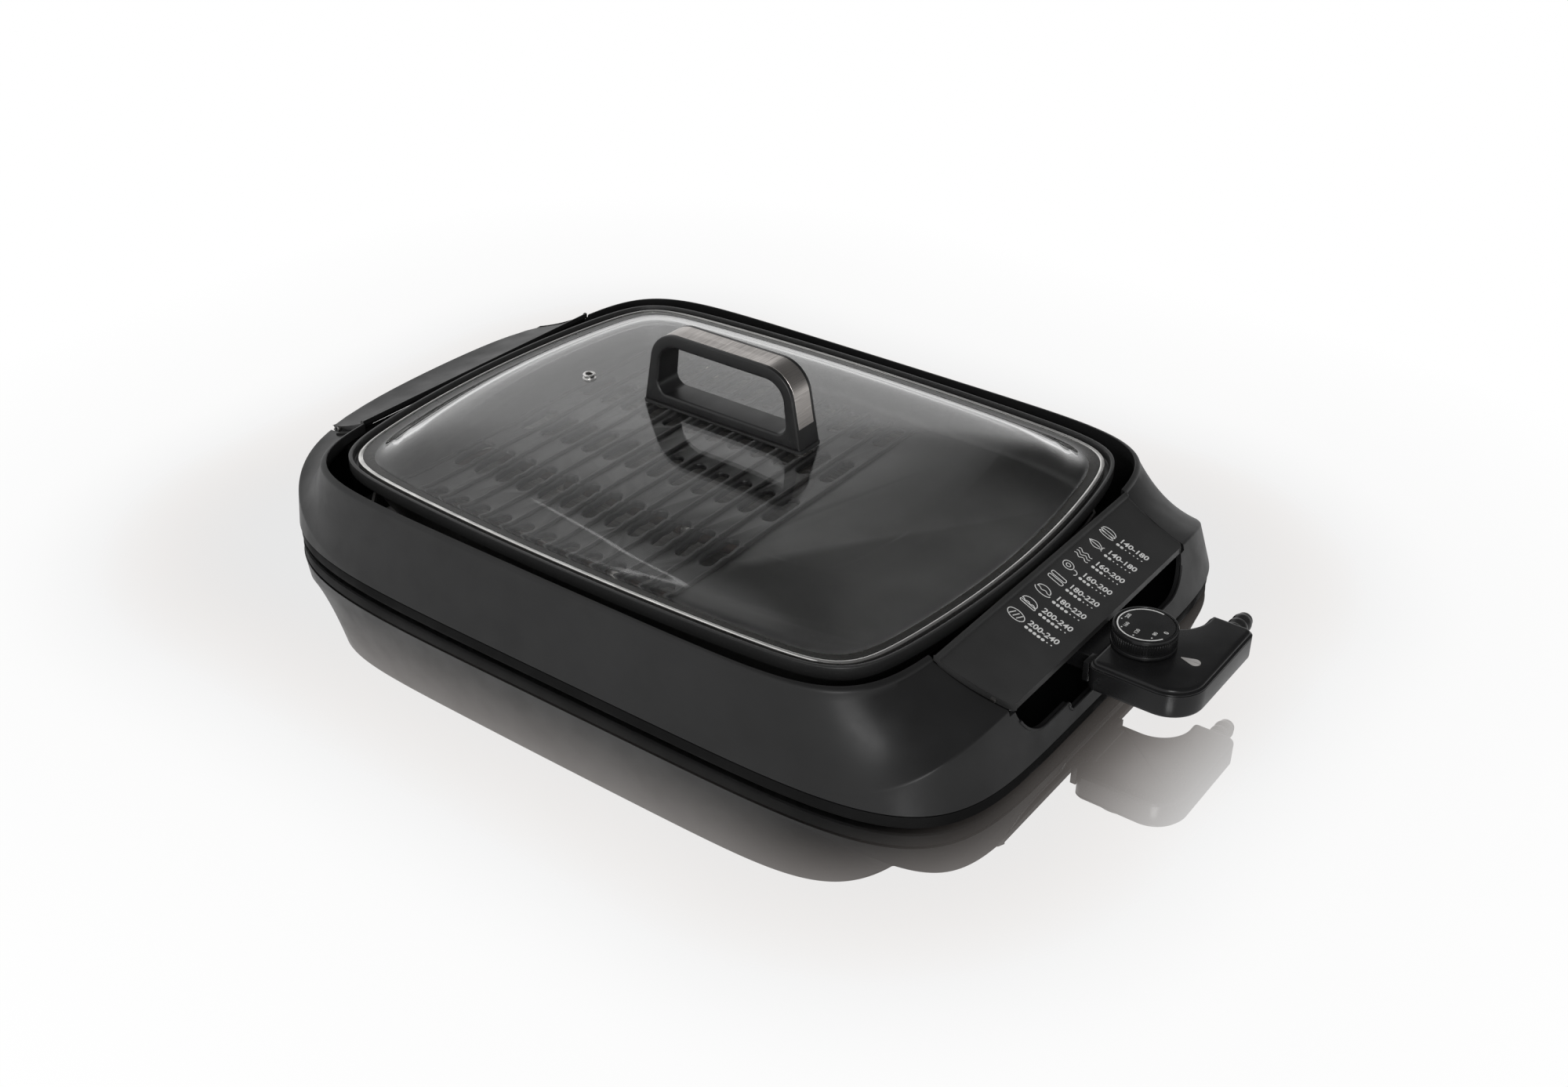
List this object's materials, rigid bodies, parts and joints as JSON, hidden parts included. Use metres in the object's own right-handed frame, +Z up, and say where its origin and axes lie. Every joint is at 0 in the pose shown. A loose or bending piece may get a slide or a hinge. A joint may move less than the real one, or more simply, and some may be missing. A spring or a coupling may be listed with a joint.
{
  "type": "electric indoor grill with glass lid",
  "caption": "Long low electric grill with a domed lift-off glass lid, a slotted and ridged plate, a slide-out drip tray and a plug-in thermostat with a dial.",
  "frame": {"origin": "on the table under the middle of the whole grill's box, thermostat included", "axes": "+X along the length towards the thermostat, -Y towards the front wall, +Z up"},
  "size_m": [0.5722, 0.358, 0.1348],
  "materials": {
    "housing_plastic": "satin black moulded plastic, fine grain",
    "base_plastic": "matt black moulded plastic",
    "foot_rubber": "soft black rubber",
    "screw_steel": "zinc-plated steel",
    "liner_steel": "aluminised sheet steel",
    "insulator": "white ceramic",
    "heater_alloy": "dark oxidised heater sheath",
    "nonstick": "dark non-stick coating on cast aluminium",
    "lid_glass": "clear tempered glass",
    "band_steel": "polished stainless steel",
    "handle_plastic": "satin black heat-resistant plastic",
    "strip_steel": "finely brushed stainless steel",
    "seat_rubber": "black silicone",
    "pod_plastic": "satin black heat-resistant plastic",
    "contact_brass": "spring brass",
    "lens_plastic": "smoky clear lens",
    "boot_rubber": "black flexible rubber"
  },
  "bodies": {
    "housing": {"outer_housing": "housing_plastic", "left_end_cover": "housing_plastic", "guide_panel": "housing_plastic", "base_pan": "base_plastic", "rubber_feet": "foot_rubber", "base_screws": "screw_steel", "cover_screws": "screw_steel", "liner": "liner_steel", "plate_rests": "insulator", "tray_rails": "liner_steel", "grease_guides": "liner_steel", "heater_tube": "heater_alloy", "heater_bars": "liner_steel", "heater_clips": "screw_steel", "terminal_block": "insulator", "terminal_pins": "screw_steel", "terminal_screws": "screw_steel"},
    "plate": {"grill_plate": "nonstick"},
    "tray": {"drip_tray": "liner_steel", "tray_handle": "base_plastic"},
    "lid": {"lid_glass": "lid_glass", "lid_band": "band_steel", "vent_grommet": "band_steel", "handle_body": "handle_plastic", "handle_strip": "strip_steel", "handle_seat": "seat_rubber", "handle_screws": "screw_steel", "handle_washers": "screw_steel"},
    "thermostat": {"pod_upper_shell": "pod_plastic", "pod_lower_shell": "pod_plastic", "plug_neck": "pod_plastic", "sensing_rod": "screw_steel", "plug_contacts": "contact_brass", "thermostat_switch": "insulator", "pilot_lens": "lens_plastic", "cord_boot": "boot_rubber", "pod_screws": "screw_steel"},
    "dial": {"dial_knob": "pod_plastic", "dial_spindle": "screw_steel", "dial_disc": "pod_plastic"}
  },
  "joints": [
    {"name": "plate_lift", "type": "slide", "parent": "housing", "child": "plate", "axis": [0, 0, 1], "range_m": [0, 0.09]},
    {"name": "lid_lift", "type": "slide", "parent": "plate", "child": "lid", "axis": [0, 0, 1], "range_m": [0, 0.16]},
    {"name": "tray_slide", "type": "slide", "parent": "housing", "child": "tray", "axis": [-1, 0, 0], "range_m": [0, 0.28]},
    {"name": "thermostat_pull", "type": "slide", "parent": "housing", "child": "thermostat", "axis": [1, 0, 0], "range_m": [0, 0.08]},
    {"name": "dial_turn", "type": "hinge", "parent": "thermostat", "child": "dial", "pos_m": [0.24427, -0.0064, 0.05], "axis": [0, 0, 1], "range_deg": [0, 280]}
  ]
}
